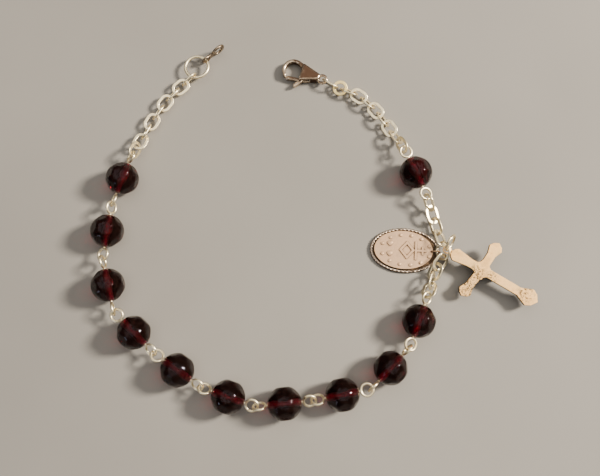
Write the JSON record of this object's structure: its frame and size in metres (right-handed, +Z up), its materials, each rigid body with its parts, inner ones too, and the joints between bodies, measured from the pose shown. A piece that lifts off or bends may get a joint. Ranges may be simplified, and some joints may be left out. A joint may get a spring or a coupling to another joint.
{
  "type": "rosary bracelet",
  "caption": "Bracelet of faceted glass beads on eyed wires and fine chain, with an oval medal, a small cross and a spring clasp.",
  "frame": {"origin": "middle of the bounding box, on the surface that the bracelet lies on", "axes": "+Z up from the surface; +X across the open loop, from the long row of beads on the left towards the cross; +Y towards the gap between the end tab and the clasp"},
  "size_m": [0.081, 0.0708, 0.0057],
  "materials": {
    "garnet_glass": "polished dark garnet glass",
    "silver_wire": "silver-plated, worn",
    "cast_silver": "silver-plated casting, worn",
    "gold_ring": "pale gold plate",
    "dull_clasp": "tarnished plate"
  },
  "bodies": {
    "bracelet": {"bead_01": "garnet_glass", "bead_02": "garnet_glass", "bead_03": "garnet_glass", "bead_04": "garnet_glass", "bead_05": "garnet_glass", "bead_06": "garnet_glass", "bead_07": "garnet_glass", "bead_08": "garnet_glass", "bead_09": "garnet_glass", "bead_10": "garnet_glass", "bead_11": "garnet_glass", "bead_wire_01": "silver_wire", "bead_wire_02": "silver_wire", "bead_wire_03": "silver_wire", "bead_wire_04": "silver_wire", "bead_wire_05": "silver_wire", "bead_wire_06": "silver_wire", "bead_wire_07": "silver_wire", "bead_wire_08": "silver_wire", "bead_wire_09": "silver_wire", "bead_wire_10": "silver_wire", "bead_wire_11": "silver_wire", "end_chain": "silver_wire", "lower_centre_chain": "silver_wire", "upper_centre_chain": "silver_wire", "clasp_chain": "silver_wire", "end_tab": "dull_clasp", "end_ring": "silver_wire", "centre_ring": "silver_wire", "cross_ring": "silver_wire", "round_ring": "gold_ring", "oval_ring": "silver_wire", "medal": "cast_silver", "cross": "cast_silver", "clasp_body": "dull_clasp"},
    "lever": {"clasp_lever": "dull_clasp"}
  },
  "joints": [
    {"name": "clasp_lever_hinge", "type": "hinge", "parent": "bracelet", "child": "lever", "pos_m": [-0.00113, 0.02909, 0.00105], "axis": [0.0561, -0.0193, -0.9982], "range_deg": [0, 22], "stiffness_Nm_per_rad": 0.002}
  ]
}
